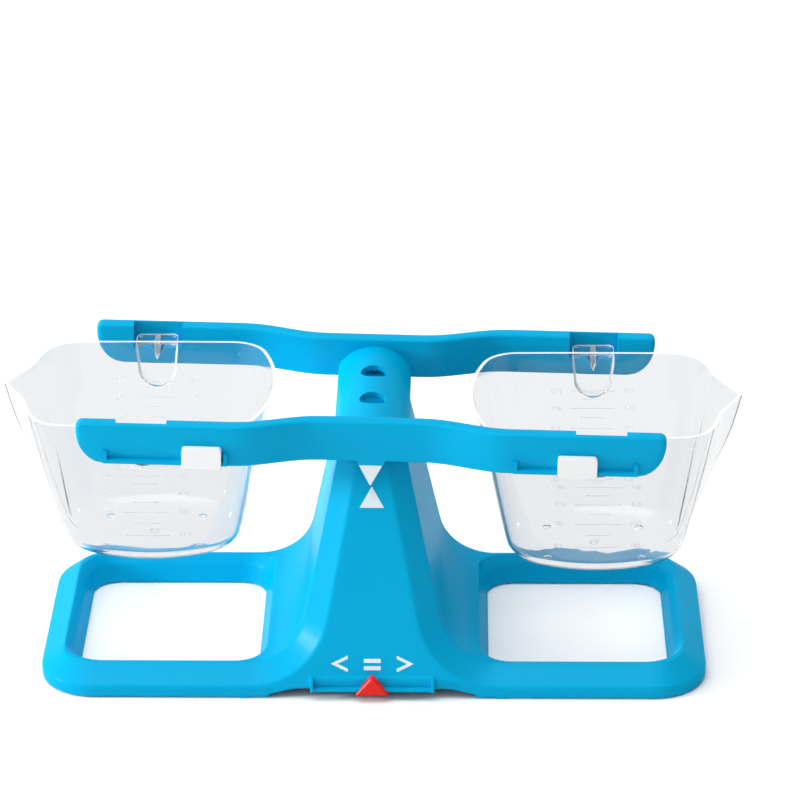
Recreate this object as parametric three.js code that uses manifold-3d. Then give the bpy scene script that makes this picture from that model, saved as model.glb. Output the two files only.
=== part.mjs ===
// Bucket balance: two clear buckets hang from a beam that rocks on the column of a wide base.
// Millimetres, +Z up, origin in the middle of the base on the ground. The signs face -Y.
import * as THREE from 'three';
import { mergeVertices } from 'three/addons/utils/BufferGeometryUtils.js';
import Module from 'manifold-3d';

// Colours
const blue = 0x009fd6;
const clear = 0xe9eef0;
const white = 0xf2f2f2;
const red = 0xe0372b;

// Rest pose: the beam stands a little down on the right
const restTiltDegrees = 1.5;
const pivotHeight = 140;
const restGap = 0.3;
const slideGap = 0.3;
const overrun = 1;

// Base plate: skirt, outer bevel, ridge
const baseHalfLength = 175;
const baseHalfDepth = 73.2;
const baseCornerRadius = 29;
const skirtHeight = 6.4;
const ridgeHeight = 15.2;
const ridgeInset = 12;
const ridgeCornerRadius = 15;
const ridgeFlat = 0.8;
const baseWall = 2.4;
const columnWall = 2.6;

// Foot loops: the hole through each side of the base
const holeNear = 60.4;
const holeHalfDepth = 53.8;
const holeFar = 155.6;
const holeCornerRadius = 14;
const holeDraftShare = 0.28;
const innerBevelDrop = 5;
const columnSideCornerRadius = 12;

// Column: front outline, ridge outline, leaning faces
const filletReach = 65;
const faceFilletRadius = 42;
const ridgeFilletRadius = 30.8;
const faceTopHalfWidth = 8;
const ridgeTopHalfWidth = 17.6;
const faceLeanShare = 0.22;
const ridgeLeanShare = 0.2;
const armColumnGap = 3;
const shoulderRise = 2;
const faceTopRadius = 3;
const shoulderRadius = 2.5;
const filletSteps = 12;
const columnSink = 0.15;
const halfTurnDegrees = 180;
const quarterTurnDegrees = 90;
const topSteps = 3;

// Column head: two notched cradles that carry the beam
const cradleRise = 1;
const cradleTopHalfWidth = 6.5;
const cradleBottomHalfWidth = 14;
const cradleSink = 3;
const cradleInnerY = 25;
const cradleOuterY = 35;
const notchHalfWidth = 1.8;

// Front edge: raised bottom, slider ledge and its stops
const raisedHeight = 5.3;
const raisedHalfWidth = 35;
const raisedEnd = 64;
const raisedDepth = 9;
const raisedSteps = 6;
const padHeight = 0.6;
const padLength = 5;
const padDepth = 2;
const padPlace = 67;
const padInset = 0.3;
const ledgeBottom = 4.7;
const ledgeHeight = 1.9;
const ledgeReach = 2.2;
const ledgeHalfLength = 32.3;
const markerStopWidth = 1.7;
const markerStopTop = 12;
const markerStopReach = 3;

// Marker: the triangle that slides on the ledge
const markerHalfWidth = 8.8;
const markerHeight = 10.8;
const markerBelowLedge = 1;
const markerPlate = 1.8;
const markerLip = 1.1;
const markerChamfer = 0.9;
const markerCornerRadius = 0.9;

// Beam arms
const armHalfLength = 149.8;
const armTopRise = 10.5;
const armHeight = 22;
const armThickness = 8.1;
const armWall = 2.1;
const armWave = 10;
const waveStart = 25.5;
const waveEnd = 71.5;
const armTopRadius = 1.6;
const armBottomRadius = 1;
const armEndRadius = 3.1;
const armEndSweep = 14.3;
const armFaceRadius = 2.2;
const armHollowEnd = 99;
const bucketArmGap = 4.6;

// Hanging pockets in the arms
const hangFromEnd = 33;
const hangReach = armHalfLength - hangFromEnd;
const hangDrop = 7.5;
const pocketHalfWidth = 13;
const pocketOuterWall = 2.5;
const grooveDepth = 5.5;
const grooveHalfWidth = 4;

// Slider tracks on the front arm
const trackInner = 73.5;
const trackFromEnd = 15.2;
const trackOuter = armHalfLength - trackFromEnd;
const trackReach = 2.7;
const trackRise = 1.4;
const trackHeight = 1.9;
const trackStopHeight = 6;
const trackStopWidth = 2;
const clipGrooveDepth = 2.4;

// Sliders
const sliderWidth = 20;
const sliderHeight = 10.9;
const sliderPlate = 1.5;
const sliderLip = 0.6;
const sliderWeb = 0.7;
const sliderLeg = 1;
const sliderLegRise = 1.6;
const sliderCornerRadius = 1.6;
const sliderLeftShare = 0.02078;
const sliderRightShare = 0.52208;
const sliderRoom = (trackStopWidth + sliderWidth) / 2 + slideGap;
const sliderTravel = trackOuter - trackInner - 2 * sliderRoom;
const sliderLeftPlace = -trackInner - sliderRoom - sliderLeftShare * sliderTravel;
const sliderRightPlace = trackInner + sliderRoom + sliderRightShare * sliderTravel;

// Bridge between the arms, with its two round holes and rocking edges
const bridgeRise = 6.3;
const bridgeRadius = 22;
const bridgeHalfWidth = 19.4;
const bridgeWall = 3;
const bridgeSteps = 16;
const bridgeHoleRadius = 7;
const bridgeHolePlace = 16.5;
const bridgeHoleRim = 1;
const edgeHalfWidth = 2.2;
const edgeInset = 1;

// Opening in the rear arm behind the bridge
const openingHalfWidth = 22.4;
const openingRise = 7;
const openingRadius = 5;

// Pointer below the front arm
const pointerHalfWidth = 8;
const pointerRoot = 1.3;
const pointerLength = 13.5;
const pointerPlate = 2.2;
const pointerTipHalfWidth = 0.5;

// Buckets
const bucketHalfLength = 66.4;
const bucketHalfDepth = 52.8;
const bucketDepth = 87.4;
const bucketWall = 1.8;
const bucketFloor = 2;
const bucketEndShare = 0.24;
const bucketSideShare = 0.17;
const bucketCornerRadius = 20;
const bucketCornerShare = -0.05;
const bucketEndRadius = 112;
const bucketSideRadius = 75;
const bucketBottomRadius = 10;
const rimAboveHang = 11.2;
const sideBowShare = 0.03;
const creaseEndShare = 0.02;
const bucketCornerSteps = 6;
const bucketSideSteps = 4;
const spoutHalfWidth = 22.6;
const spoutReach = 9.6;
const spoutShares = [1, 1, 1, 0.97, 0.9, 0.7, 0.53, 0.42, 0.3, 0.16, 0.05];
const spoutDepthShares = [0, 0.04, 0.12, 0.22, 0.3, 0.42, 0.52, 0.63, 0.74, 0.85, 0.93];
const footHalfLength = 24.7;
const footHalfDepth = 17.5;
const footRadius = 2;
const footHeight = 1;
const footSteps = 10;

// Ears: the bucket's hanging brackets
const earHalfWidth = 11.8;
const earSideShare = 0.12;
const earDepth = 25;
const earSteps = 8;
const flangeHalfWidth = 11;
const flangeReach = 9.8;
const flangePlate = 1.8;
const flangeCornerRadius = 3;
const cheekPlace = 9;
const cheekPlate = 1.8;
const cheekDrop = 3;
const ribPlate = 2.7;
const ribTaper = 3.2;

// Derived places of the beam, level
const armTop = pivotHeight + armTopRise;
const armBottom = armTop - armHeight;
const armInnerEnd = bucketHalfDepth + bucketArmGap;
const armOuterEnd = armInnerEnd + armThickness;
const armOuterMiddle = armOuterEnd - armWave;
const armInnerMiddle = armOuterMiddle - armThickness;
const hangHeight = pivotHeight - hangDrop;
const shelfHeight = hangHeight + grooveDepth;
const bridgeTop = pivotHeight + bridgeRise;
const bridgeCentre = bridgeTop - bridgeRadius;
const faceTop = armBottom - armColumnGap;
const ridgeTop = faceTop + shoulderRise;

const wasm = await Module();
wasm.setup();

// Turns a closed geometry into a solid for cutting and joining.
function solidOf(geometry) {
  const plain = geometry.clone();
  plain.deleteAttribute('normal');
  plain.deleteAttribute('uv');
  const merged = mergeVertices(plain);
  const mesh = new wasm.Mesh({
    numProp: 3,
    vertProperties: Float32Array.from(merged.attributes.position.array),
    triVerts: Uint32Array.from(merged.index.array),
  });
  return new wasm.Manifold(mesh);
}

// Turns a solid back into a geometry.
function geometryOf(solid) {
  const mesh = solid.getMesh();
  const geometry = new THREE.BufferGeometry();
  geometry.setAttribute('position', new THREE.BufferAttribute(mesh.vertProperties, 3));
  geometry.setIndex(new THREE.BufferAttribute(mesh.triVerts, 1));
  geometry.computeVertexNormals();
  return geometry;
}

// Closed body through rings of points; flat(point) gives the plane coordinates of the end caps.
function loft(rings, flat) {
  const count = rings[0].length;
  const positions = [];
  for (const ring of rings) {
    for (const point of ring) {
      positions.push(point.x, point.y, point.z);
    }
  }
  const triangles = [];
  for (let level = 0; level + 1 < rings.length; level += 1) {
    for (let i = 0; i < count; i += 1) {
      const a = level * count + i;
      const b = level * count + (i + 1) % count;
      triangles.push([a, b, b + count], [a, b + count, a + count]);
    }
  }
  const last = (rings.length - 1) * count;
  const firstCap = capOf(rings[0].map(flat));
  const lastCap = capOf(rings[rings.length - 1].map(flat));
  for (const [a, b, c] of firstCap) {
    triangles.push([c, b, a]);
  }
  for (const [a, b, c] of lastCap) {
    triangles.push([last + a, last + b, last + c]);
  }
  const corner = (index) => new THREE.Vector3().fromArray(positions, index * 3);
  let volume = 0;
  for (const [a, b, c] of triangles) {
    volume += corner(a).dot(corner(b).cross(corner(c)));
  }
  const turned = volume < 0 ? triangles.map(([a, b, c]) => [a, c, b]) : triangles;
  const geometry = new THREE.BufferGeometry();
  geometry.setAttribute('position', new THREE.Float32BufferAttribute(positions, 3));
  geometry.setIndex(turned.flat());
  return geometry;
}

// Triangles of a cap, all turned the way its outline runs.
function capOf(outline) {
  const faces = THREE.ShapeUtils.triangulateShape(outline, []);
  const area = ([a, b, c]) => THREE.ShapeUtils.area([outline[a], outline[b], outline[c]]);
  const covered = faces.reduce((sum, face) => sum + area(face), 0);
  const sameWay = covered * THREE.ShapeUtils.area(outline) > 0;
  return sameWay ? faces : faces.map(([a, b, c]) => [a, c, b]);
}

const flatXY = (point) => new THREE.Vector2(point.x, point.y);
const flatXZ = (point) => new THREE.Vector2(point.x, point.z);
const flatYZ = (point) => new THREE.Vector2(point.y, point.z);

// Block between two corners.
function block(x0, x1, y0, y1, z0, z1) {
  const box = new THREE.BoxGeometry(x1 - x0, y1 - y0, z1 - z0);
  box.translate((x0 + x1) / 2, (y0 + y1) / 2, (z0 + z1) / 2);
  return solidOf(box);
}

// Prism along Y with an outline of [x, z] points.
function prismY(outline, y0, y1) {
  const ringAt = (y) => outline.map(([x, z]) => new THREE.Vector3(x, y, z));
  return solidOf(loft([ringAt(y0), ringAt(y1)], flatXZ));
}

// Arc points from one angle to another, in degrees, as [u, v] pairs.
function arc(u, v, radius, fromDegrees, toDegrees, steps) {
  const points = [];
  for (let i = 0; i <= steps; i += 1) {
    const angle = THREE.MathUtils.degToRad(fromDegrees + (toDegrees - fromDegrees) * i / steps);
    points.push([u + radius * Math.cos(angle), v + radius * Math.sin(angle)]);
  }
  return points;
}

// Rectangle with a radius for each corner, from the corner at +x +y round to +x -y.
function roundedRectangle(x0, x1, y0, y1, radii, steps) {
  return [
    ...arc(x1 - radii[0], y1 - radii[0], radii[0], 0, 90, steps),
    ...arc(x0 + radii[1], y1 - radii[1], radii[1], 90, 180, steps),
    ...arc(x0 + radii[2], y0 + radii[2], radii[2], 180, 270, steps),
    ...arc(x1 - radii[3], y0 + radii[3], radii[3], 270, 360, steps),
  ];
}

const cornerSteps = 8;
const ringZ = (outline, z) => outline.map(([x, y]) => new THREE.Vector3(x, y, z));

// Base plate, or its hollow when wall is more than nothing.
function plateSolid(wall, bottom) {
  const outline = (inset, radius) => {
    const length = baseHalfLength - inset;
    const depth = baseHalfDepth - inset;
    return roundedRectangle(-length, length, -depth, depth, [radius, radius, radius, radius], cornerSteps);
  };
  const skirt = outline(wall, baseCornerRadius - wall);
  const ridge = outline(ridgeInset + wall, ridgeCornerRadius - wall);
  const rings = [ringZ(skirt, bottom), ringZ(skirt, skirtHeight), ringZ(ridge, ridgeHeight - wall)];
  return solidOf(loft(rings, flatXY));
}

// Hole of one foot loop, on the side of sign; grown by a wall for the hollow.
function footHole(sign, grow) {
  const outline = (z, bevel) => {
    const draft = holeDraftShare * z + grow;
    const near = holeNear - draft;
    const far = holeFar + draft + bevel;
    const depth = holeHalfDepth + draft + bevel;
    const outer = holeCornerRadius + draft + bevel;
    const inner = holeCornerRadius + draft + (columnSideCornerRadius - holeCornerRadius) * bevel / fullBevel;
    const rectangle = roundedRectangle(near, far, -depth, depth, [outer, inner, inner, outer], cornerSteps);
    return rectangle.map(([x, y]) => new THREE.Vector3(sign * x, y, z));
  };
  const bevelBottom = ridgeHeight - innerBevelDrop;
  const fullDepth = baseHalfDepth - ridgeInset - ridgeFlat;
  const fullBevel = fullDepth - holeHalfDepth - holeDraftShare * ridgeHeight;
  const above = ridgeHeight + ridgeFilletRadius / 2;
  const top = outline(ridgeHeight, fullBevel).map((point) => point.clone().setZ(above));
  const shift = holeDraftShare * (above - ridgeHeight);
  for (const point of top) {
    point.x -= sign * (Math.abs(point.x) < (holeNear + holeFar) / 2 ? shift : 0);
  }
  const rings = [outline(-overrun, 0), outline(bevelBottom, 0), outline(ridgeHeight, fullBevel), top];
  return solidOf(loft(rings, flatXY));
}

// Half outline of the column: foot fillet, straight side, rounded top corner; [x, z] pairs.
function columnOutline(bottom, radius, topHalfWidth, top, topRadius, wall, sink) {
  const centre = bottom + radius;
  const cornerZ = top - wall - topRadius;
  const sideX = topHalfWidth - wall;
  const toTop = new THREE.Vector2(sideX - filletReach, cornerZ - centre);
  const tangent = Math.atan2(toTop.y, toTop.x) + Math.acos((radius + wall) / toTop.length());
  const fillet = arc(
    filletReach, centre, radius + wall, 1.5 * halfTurnDegrees, THREE.MathUtils.radToDeg(tangent), filletSteps,
  );
  const corner = arc(sideX - topRadius, cornerZ, topRadius, 0, 90, topSteps);
  const half = [[filletReach, sink], ...fillet.slice(1), ...corner];
  const mirrored = half.map(([x, z]) => [-x, z]).reverse();
  return [...half, ...mirrored];
}

// Column, or its hollow when wall is more than nothing.
function columnSolid(wall) {
  const faceSink = skirtHeight - wall - columnSink;
  const ridgeSink = skirtHeight / 2 - wall;
  const face = columnOutline(skirtHeight, faceFilletRadius, faceTopHalfWidth, faceTop, faceTopRadius, wall, faceSink);
  const ridge = columnOutline(
    ridgeHeight, ridgeFilletRadius, ridgeTopHalfWidth, ridgeTop, shoulderRadius, wall, ridgeSink,
  );
  const faceDepth = (z) => baseHalfDepth - wall - faceLeanShare * (z - skirtHeight);
  const ridgePlane = baseHalfDepth - ridgeInset - wall;
  const ridgeDepth = (z) => ridgePlane - ridgeLeanShare * (z - ridgeHeight);
  const placed = (outline, depth, sign) => outline.map(([x, z]) => new THREE.Vector3(x, sign * depth(z), z));
  const rings = [
    placed(face, faceDepth, -1),
    placed(ridge, ridgeDepth, -1),
    placed(ridge, ridgeDepth, 1),
    placed(face, faceDepth, 1),
  ];
  return solidOf(loft(rings, flatXZ));
}

// Notched cradle of the column head.
function cradle(y0, y1) {
  const top = pivotHeight + cradleRise;
  const bottom = ridgeTop - cradleSink;
  const outline = [
    [-cradleBottomHalfWidth, bottom],
    [cradleBottomHalfWidth, bottom],
    [cradleTopHalfWidth, top],
    [notchHalfWidth, top],
    [0, pivotHeight - restGap],
    [-notchHalfWidth, top],
    [-cradleTopHalfWidth, top],
  ];
  return prismY(outline, y0, y1);
}

// Cutter that raises the middle of the front bottom edge.
function raisedCut() {
  const curve = [];
  for (let i = 0; i <= raisedSteps; i += 1) {
    const share = i / raisedSteps;
    const x = raisedEnd + (raisedHalfWidth - raisedEnd) * share;
    curve.push([x, raisedHeight * (1 - Math.cos(Math.PI * share)) / 2]);
  }
  const mirrored = curve.map(([x, z]) => [-x, z]).reverse();
  const outline = [[raisedEnd, -overrun], ...curve, ...mirrored, [-raisedEnd, -overrun]];
  return prismY(outline, -baseHalfDepth - overrun, -baseHalfDepth + raisedDepth);
}

function baseGeometry() {
  const outer = plateSolid(0, 0).add(columnSolid(0));
  const hollow = plateSolid(baseWall, -overrun).add(columnSolid(columnWall));
  const walls = footHole(-1, baseWall).add(footHole(1, baseWall));
  const holes = footHole(-1, 0).add(footHole(1, 0));
  const wallLine = -baseHalfDepth + baseWall / 2;
  let body = outer.subtract(hollow.subtract(walls)).subtract(holes);
  body = body.subtract(raisedCut());
  const ledgeFront = -baseHalfDepth - ledgeReach;
  const ledgeTop = ledgeBottom + ledgeHeight;
  body = body.add(block(-ledgeHalfLength, ledgeHalfLength, ledgeFront, wallLine, ledgeBottom, ledgeTop));
  for (const sign of [-1, 1]) {
    const outerX = sign * ledgeHalfLength;
    const innerX = sign * (ledgeHalfLength - markerStopWidth);
    const [x0, x1] = [Math.min(outerX, innerX), Math.max(outerX, innerX)];
    const front = -baseHalfDepth - markerStopReach;
    body = body.add(block(x0, x1, front, wallLine + baseWall / 2, ledgeBottom, markerStopTop));
    const [y0, y1] = sign < 0 ? [-cradleOuterY, -cradleInnerY] : [cradleInnerY, cradleOuterY];
    body = body.add(cradle(y0, y1));
    for (const side of [-1, 1]) {
      const x = side * padPlace;
      const middle = sign * (baseHalfDepth - padInset - padDepth / 2);
      const [p0, p1] = [middle - padDepth / 2, middle + padDepth / 2];
      body = body.add(block(x - padLength / 2, x + padLength / 2, p0, p1, -padHeight, overrun));
    }
  }
  return geometryOf(body);
}

// How far the arms stand in towards the middle at x.
function waveAt(x) {
  const share = THREE.MathUtils.clamp((Math.abs(x) - waveStart) / (waveEnd - waveStart), 0, 1);
  return armWave * (1 + Math.cos(Math.PI * share)) / 2;
}

// One arm as a loft along X, or its hollow when wall is more than nothing.
function armSolid(sign, wall) {
  const end = wall > 0 ? armHollowEnd : armHalfLength;
  const endShares = [0.015, 0.05, 0.12, 0.22, 0.35, 0.5, 0.7, 1];
  const waveSteps = 9;
  const stations = [];
  if (wall === 0) {
    stations.push(...endShares.map((share) => end - armEndSweep * share));
  } else {
    stations.push(end);
  }
  for (let i = 0; i <= waveSteps; i += 1) {
    stations.push(waveEnd + (waveStart - waveEnd) * i / waveSteps);
  }
  const all = [...stations.map((x) => -x), ...stations.reverse()];
  const rings = all.map((x) => {
    const back = wall > 0 ? armEndSweep : armHalfLength - Math.abs(x);
    const topBack = Math.max(0, armEndRadius - back);
    const top = armTop - wall - armEndRadius + Math.sqrt(armEndRadius ** 2 - topBack ** 2);
    const sweep = Math.max(0, (armEndSweep - back) / armEndSweep);
    const rise = (armHeight - armEndRadius) * (1 - Math.sqrt(1 - sweep ** 2));
    const bottom = armBottom + rise - (wall > 0 ? overrun : 0);
    const faceBack = Math.max(0, armFaceRadius - back);
    const thin = armFaceRadius - Math.sqrt(armFaceRadius ** 2 - faceBack ** 2) + wall;
    const middle = armOuterEnd - armThickness / 2 - waveAt(x);
    const half = armThickness / 2 - thin;
    const room = (top - bottom) / 3;
    const topRadius = Math.min(wall > 0 ? armWall / 2 : armTopRadius, room, half * 0.9);
    const bottomRadius = Math.min(wall > 0 ? armWall / 4 : armBottomRadius, room, half * 0.9);
    const radii = [topRadius, topRadius, bottomRadius, bottomRadius];
    const section = roundedRectangle(middle - half, middle + half, bottom, top, radii, wall > 0 ? 1 : 3);
    return section.map(([y, z]) => new THREE.Vector3(x, sign * y, z));
  });
  return solidOf(loft(rings, flatYZ));
}

// Pocket with its groove, where a bucket's ear hangs.
function pocketCut(side, sign) {
  const x0 = side * hangReach - pocketHalfWidth;
  const x1 = side * hangReach + pocketHalfWidth;
  const near = armInnerEnd - overrun;
  const far = armOuterEnd - pocketOuterWall;
  const [y0, y1] = sign < 0 ? [-far, -near] : [near, far];
  const groove = [
    [side * hangReach - grooveHalfWidth, shelfHeight],
    [side * hangReach, hangHeight],
    [side * hangReach + grooveHalfWidth, shelfHeight],
    [side * hangReach + grooveHalfWidth, shelfHeight + overrun],
    [side * hangReach - grooveHalfWidth, shelfHeight + overrun],
  ];
  return block(x0, x1, y0, y1, shelfHeight, armTop + overrun).add(prismY(groove, y0, y1));
}

// Track of one slider: rail and two stops on the front arm.
function trackSolid(side) {
  const back = -armOuterEnd + armWall / 2;
  const front = -armOuterEnd - trackReach;
  const half = trackStopWidth / 2;
  const ends = [side * trackInner, side * trackOuter].sort((a, b) => a - b);
  const bottom = armBottom + trackRise;
  const top = bottom + trackHeight;
  const stopTop = bottom + trackStopHeight;
  return block(ends[0], ends[1], front, back, bottom, top)
    .add(block(ends[0] - half, ends[0] + half, front, back, bottom, stopTop))
    .add(block(ends[1] - half, ends[1] + half, front, back, bottom, stopTop));
}

// Groove under the front arm for the slider's leg.
function clipGroove(side) {
  const ends = [side * trackInner, side * trackOuter].sort((a, b) => a - b);
  const outer = -armOuterEnd + armWall;
  const inner = outer + sliderLeg + 2 * slideGap;
  return block(ends[0], ends[1], outer, inner, armBottom - overrun, armBottom + clipGrooveDepth);
}

// Arched bridge with two holes and the edges it rocks on.
function bridgeSolid() {
  const reach = armInnerMiddle + armWall / 2;
  const span = THREE.MathUtils.radToDeg(Math.asin(bridgeHalfWidth / bridgeRadius));
  const start = quarterTurnDegrees - span;
  const end = quarterTurnDegrees + span;
  const outer = arc(0, bridgeCentre, bridgeRadius, start, end, bridgeSteps);
  const inner = arc(0, bridgeCentre, bridgeRadius - bridgeWall, end, start, bridgeSteps);
  let body = prismY([...outer, ...inner], -reach, reach);
  const innerTop = bridgeTop - bridgeWall;
  const edge = [[0, pivotHeight], [edgeHalfWidth, innerTop + overrun / 2], [-edgeHalfWidth, innerTop + overrun / 2]];
  body = body.add(prismY(edge, cradleInnerY + edgeInset, cradleOuterY - edgeInset));
  body = body.add(prismY(edge, -cradleOuterY + edgeInset, -cradleInnerY - edgeInset));
  for (const y of [-bridgeHolePlace, bridgeHolePlace]) {
    const hole = new THREE.CylinderGeometry(bridgeHoleRadius, bridgeHoleRadius, bridgeRadius, 32);
    hole.rotateX(Math.PI / 2);
    hole.translate(0, y, bridgeTop);
    body = body.subtract(solidOf(hole));
  }
  return body;
}

// Cutter of the opening in the rear arm.
function openingCut() {
  const top = armBottom + openingRise;
  const centreX = openingHalfWidth + openingRadius;
  const left = arc(-centreX, armBottom + openingRadius, openingRadius, 270, 360, 6);
  const right = arc(centreX, armBottom + openingRadius, openingRadius, 180, 270, 6);
  const outline = [
    [-centreX, armBottom - overrun],
    ...left,
    [-openingHalfWidth, top],
    [openingHalfWidth, top],
    ...right,
    [centreX, armBottom - overrun],
  ];
  return prismY(outline, armInnerMiddle + armWall / 4, armOuterMiddle + overrun);
}

function beamGeometry() {
  let body = armSolid(-1, 0).add(armSolid(1, 0));
  body = body.subtract(armSolid(-1, armWall)).subtract(armSolid(1, armWall));
  for (const side of [-1, 1]) {
    body = body.subtract(pocketCut(side, -1)).subtract(pocketCut(side, 1));
    body = body.add(trackSolid(side)).subtract(clipGroove(side));
  }
  body = body.add(bridgeSolid()).subtract(openingCut());
  const root = armBottom + pointerRoot;
  const tip = root - pointerRoot - pointerLength;
  const pointer = [
    [-pointerHalfWidth, root],
    [-pointerTipHalfWidth, tip],
    [pointerTipHalfWidth, tip],
    [pointerHalfWidth, root],
  ];
  body = body.add(prismY(pointer, -armOuterMiddle, -armOuterMiddle + pointerPlate));
  return geometryOf(body);
}

// Slider: a clip round the rail and the bottom edge of the front arm, centred on x = 0.
function sliderGeometry() {
  const front = -armOuterEnd - trackReach - slideGap;
  const railBottom = armBottom + trackRise - slideGap;
  const railTop = armBottom + trackRise + trackHeight + slideGap;
  const bottom = railBottom - sliderLip;
  const top = bottom + sliderHeight;
  const half = sliderWidth / 2;
  const armFace = -armOuterEnd - slideGap;
  const webTop = armBottom - slideGap;
  const webBottom = webTop - sliderWeb;
  const legFront = -armOuterEnd + armWall + slideGap;
  const legBack = legFront + sliderLeg;
  const legTop = armBottom + sliderLegRise;
  const r = sliderCornerRadius;
  const face = roundedRectangle(-half, half, bottom, top, [r, r, r, r], 4);
  const plate = prismY(face, front - sliderPlate, armFace);
  const rail = block(-half - r, half + r, front, armFace + r, railBottom, railTop);
  const web = block(-half, half, armFace - sliderPlate, legBack, webBottom, webTop);
  const step = block(-half, half, armFace - sliderPlate, armFace, webBottom, railBottom);
  const leg = block(-half, half, legFront, legBack, webBottom, legTop);
  return geometryOf(plate.subtract(rail).add(web).add(step).add(leg));
}

// Marker: a triangle with chamfered edges, hooked over the ledge.
function markerGeometry() {
  const front = -baseHalfDepth - ledgeReach - slideGap;
  const bottom = ledgeBottom - markerBelowLedge;
  const top = bottom + markerHeight;
  const ledgeTop = ledgeBottom + ledgeHeight;
  const outline = (inset) => {
    const low = bottom + inset * 0.4;
    const slope = markerHalfWidth / markerHeight;
    const side = inset * Math.hypot(1, slope);
    const tip = top - side / slope;
    const tipHalf = markerCornerRadius * slope;
    const foot = markerHalfWidth - side;
    return [
      [-foot, low],
      [foot, low],
      [tipHalf, tip - markerCornerRadius / 2],
      [-tipHalf, tip - markerCornerRadius / 2],
    ];
  };
  const ring = (inset, y) => outline(inset).map(([x, z]) => new THREE.Vector3(x, y, z));
  const faceY = front - markerPlate;
  const rings = [ring(markerChamfer, faceY), ring(0, faceY + markerChamfer), ring(0, front + ledgeReach)];
  const body = solidOf(loft(rings, flatXZ));
  const room = baseHalfDepth + slideGap;
  const slotTop = ledgeTop + slideGap;
  const slotBottom = ledgeBottom - slideGap;
  const slot = block(-baseHalfLength, baseHalfLength, front, -room + ledgeReach, slotBottom, slotTop);
  const skirt = block(-baseHalfLength, baseHalfLength, -room, 0, bottom - overrun, top + overrun);
  return geometryOf(body.subtract(slot).subtract(skirt));
}

// Outline of the bucket at a depth below the rim, with the spout on +X; [x, y] pairs. The sides are
// straight at the rim and bow out towards the bottom; the ends are bowed all the way.
function bucketOutline(depth, inset) {
  const share = THREE.MathUtils.clamp(depth / bucketDepth, 0, 1);
  const a = bucketHalfLength - bucketEndShare * depth - inset;
  const b = bucketHalfDepth - bucketSideShare * depth - inset;
  const corner = bucketCornerRadius - bucketCornerShare * depth - inset;
  const endRadius = bucketEndRadius - inset;
  const sideRadius = bucketSideRadius / Math.max(sideBowShare, share ** 2) - inset;
  const endX = a - endRadius;
  const sideY = b - sideRadius;
  const endArm = endRadius - corner;
  const sideArm = sideRadius - corner;
  const span = Math.hypot(endX, sideY);
  const along = (sideArm ** 2 - endArm ** 2 + span ** 2) / (2 * span);
  const off = Math.sqrt(sideArm ** 2 - along ** 2);
  const towardX = endX / span;
  const towardY = -sideY / span;
  const cornerX = towardX * along + towardY * off;
  const cornerY = sideY + towardY * along - towardX * off;
  const turn = THREE.MathUtils.radToDeg(Math.atan2(cornerY, cornerX - endX));
  const sideTurn = THREE.MathUtils.radToDeg(Math.atan2(cornerY - sideY, cornerX));
  const reach = spoutReach * curveAt(spoutDepthShares, spoutShares, share);
  const crease = (spoutHalfWidth - inset / 2) * Math.max(creaseEndShare, 1 - share ** 1.5);
  const creaseTurn = THREE.MathUtils.radToDeg(Math.asin(crease / endRadius));
  const creaseX = endX + endRadius * Math.cos(THREE.MathUtils.degToRad(creaseTurn));
  const half = [[a + reach, 0]];
  half.push([(a + reach + creaseX) / 2, crease / 2]);
  half.push(...arc(endX, 0, endRadius, creaseTurn, turn, 2));
  half.push(...arc(cornerX, cornerY, corner, turn, sideTurn, bucketCornerSteps).slice(1));
  half.push(...arc(0, sideY, sideRadius, sideTurn, 180 - sideTurn, bucketSideSteps).slice(1));
  half.push(...arc(-cornerX, cornerY, corner, 180 - sideTurn, 180 - turn, bucketCornerSteps).slice(1));
  half.push(...arc(-endX, 0, endRadius, 180 - turn, 180, 4).slice(1));
  const mirrored = half.slice(1, -1).map(([x, y]) => [x, -y]).reverse();
  return [...half, ...mirrored];
}

// Value of a curve given by shares at a share.
function curveAt(places, values, share) {
  let i = 0;
  while (i + 2 < places.length && places[i + 1] < share) {
    i += 1;
  }
  const t = THREE.MathUtils.clamp((share - places[i]) / (places[i + 1] - places[i]), 0, 1);
  return values[i] + (values[i + 1] - values[i]) * t;
}

// Body of the bucket, outside or inside; z is measured from the rim.
function bucketSolid(inset, lift) {
  const floor = bucketDepth - (inset > 0 ? bucketFloor : 0);
  const radius = bucketBottomRadius - inset;
  const wallShares = [0, 0.11, 0.22, 0.32, 0.43, 0.55, 0.7, 0.86];
  const straight = floor - radius;
  const rings = [];
  const steps = 4;
  for (let i = 0; i <= steps; i += 1) {
    const angle = Math.PI / 2 * (1 - i / steps);
    const depth = straight + radius * Math.sin(angle);
    const pull = inset + radius * (1 - Math.cos(angle));
    rings.push(bucketOutline(depth, pull).map(([x, y]) => new THREE.Vector3(x, y, -depth)));
  }
  for (const share of [...wallShares].reverse()) {
    const depth = straight * share;
    rings.push(bucketOutline(depth, inset).map(([x, y]) => new THREE.Vector3(x, y, -depth)));
  }
  if (lift > 0) {
    rings.push(bucketOutline(0, inset).map(([x, y]) => new THREE.Vector3(x, y, lift)));
  }
  return solidOf(loft(rings, flatXY));
}

// U-shaped prism of an ear, from y0 to y1; inset for the hollow behind it.
function earPad(inset, top, y0, y1) {
  const roundRadius = earHalfWidth - earSideShare * (earDepth - earHalfWidth) - inset;
  const roundCentre = -earDepth + inset + roundRadius;
  const bottomHalf = arc(0, roundCentre, roundRadius, 0, -180, earSteps);
  const wide = earHalfWidth - inset;
  const outline = [[-wide, top], [wide, top], ...bottomHalf];
  return prismY(outline, Math.min(y0, y1), Math.max(y0, y1));
}

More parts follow.
